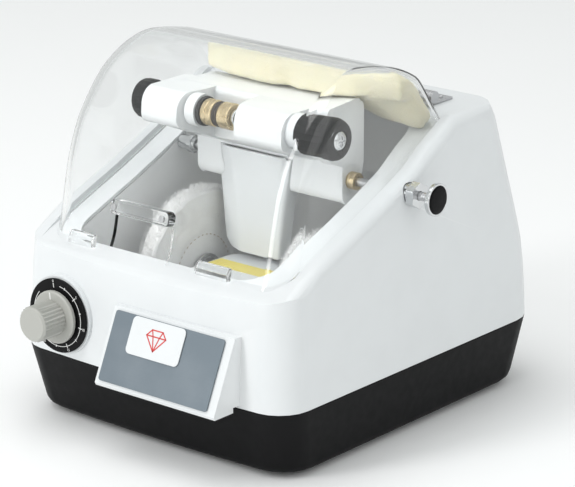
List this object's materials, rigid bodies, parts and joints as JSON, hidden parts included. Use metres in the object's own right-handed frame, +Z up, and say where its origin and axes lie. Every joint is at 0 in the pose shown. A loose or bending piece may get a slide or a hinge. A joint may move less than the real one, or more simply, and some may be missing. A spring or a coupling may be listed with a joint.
{
  "type": "bench polishing machine",
  "caption": "Bench polisher with a clear hinged hood, buffing wheels on a belt-driven spindle and a swinging arm that holds the work between turning chucks.",
  "frame": {"origin": "centre of the base's underside, 4 mm above the surface that the rubber feet stand on", "axes": "+Z up, -Y to the front with the dial and the nameplate, +X to the side with the shaft's knob"},
  "size_m": [0.2613, 0.3161, 0.2546],
  "materials": {
    "white": "satin gloss",
    "black": "satin",
    "tray": "satin",
    "rubber": "matt",
    "steel": "machined",
    "chrome": "polished",
    "brass": "polished",
    "clear": "clear acrylic",
    "cotton": "fluffy cotton",
    "foam": "soft foam",
    "grey": "satin",
    "plate": "matt print",
    "pad": "matt",
    "board": "solder mask",
    "zinc": "cast"
  },
  "bodies": {
    "housing": {"base_tub": "black", "foot_front_left": "rubber", "foot_front_right": "rubber", "foot_rear_left": "rubber", "foot_rear_right": "rubber", "housing_cover": "white", "chamber_tray": "tray", "motor_cover": "white", "nameplate": "plate", "nameplate_badge": "white", "timer_dial": "black", "timer_control": "steel", "motor_body": "zinc", "motor_saddle": "steel", "bearing_left": "chrome", "bearing_right": "chrome", "control_board": "board", "power_inlet": "black", "shaft_bush_left": "chrome", "shaft_bush_right": "chrome", "hinge_deck_left": "steel", "hinge_deck_right": "steel", "drive_belt": "rubber"},
    "arbor": {"wheel_left": "cotton", "wheel_right": "cotton", "wheel_nut_left": "steel", "wheel_nut_right": "steel", "wheel_spindle": "steel", "spindle_pulley": "zinc"},
    "motor_rotor": {"motor_shaft": "steel", "motor_pulley": "zinc"},
    "timer": {"timer_knob": "grey"},
    "hood": {"hood_shell": "clear", "handle_bar": "clear", "handle_screw_left": "steel", "handle_screw_right": "steel", "hood_stop_left": "clear", "hood_stop_right": "clear", "hood_pad": "foam", "hinge_hood_left": "steel", "hinge_hood_right": "steel"},
    "carriage": {"pivot_shaft": "steel", "side_knob": "chrome", "side_knob_cap": "black"},
    "arm": {"arm_body": "white", "arm_leg": "white", "gearmotor": "zinc", "pivot_nut": "brass", "clamp_sleeve": "steel", "clamp_spring": "steel"},
    "chuck_left": {"left_knob": "black", "left_spindle": "steel", "left_ring": "rubber", "left_chuck": "brass", "left_pad": "pad"},
    "clamp": {"right_spindle": "chrome"},
    "chuck_right": {"right_pad": "pad", "right_chuck": "brass", "right_knob": "black", "right_knob_screw": "chrome"}
  },
  "joints": [
    {"name": "hood_hinge", "type": "hinge", "parent": "housing", "child": "hood", "pos_m": [0, 0.06, 0.212], "axis": [-1, 0, 0], "range_deg": [0, 80]},
    {"name": "arm_slide", "type": "slide", "parent": "housing", "child": "carriage", "axis": [1, 0, 0], "range_m": [-0.005, 0.005]},
    {"name": "arm_swing", "type": "hinge", "parent": "carriage", "child": "arm", "pos_m": [0, -0.007, 0.1655], "axis": [1, 0, 0], "range_deg": [0, 42]},
    {"name": "left_chuck_spin", "type": "hinge", "parent": "arm", "child": "chuck_left", "pos_m": [0, -0.0465, 0.205], "axis": [1, 0, 0], "continuous": true},
    {"name": "clamp_slide", "type": "slide", "parent": "arm", "child": "clamp", "axis": [1, 0, 0], "range_m": [0, 0.006], "stiffness_N_per_m": 900, "springref_m": -0.01},
    {"name": "right_chuck_spin", "type": "hinge", "parent": "clamp", "child": "chuck_right", "pos_m": [0, -0.0465, 0.205], "axis": [1, 0, 0], "continuous": true},
    {"name": "wheel_spin", "type": "hinge", "parent": "housing", "child": "arbor", "pos_m": [0, -0.025, 0.08], "axis": [1, 0, 0], "continuous": true},
    {"name": "motor_spin", "type": "hinge", "parent": "housing", "child": "motor_rotor", "pos_m": [0, -0.07, 0.045], "axis": [1, 0, 0], "continuous": true},
    {"name": "timer_turn", "type": "hinge", "parent": "housing", "child": "timer", "pos_m": [-0.075, -0.15, 0.0746], "axis": [0, -1, 0], "range_deg": [-270, 0]}
  ],
  "couplings": [
    {"joint": "motor_spin", "follows": "wheel_spin", "ratio": 1.2339},
    {"joint": "right_chuck_spin", "follows": "left_chuck_spin", "ratio": 1}
  ]
}
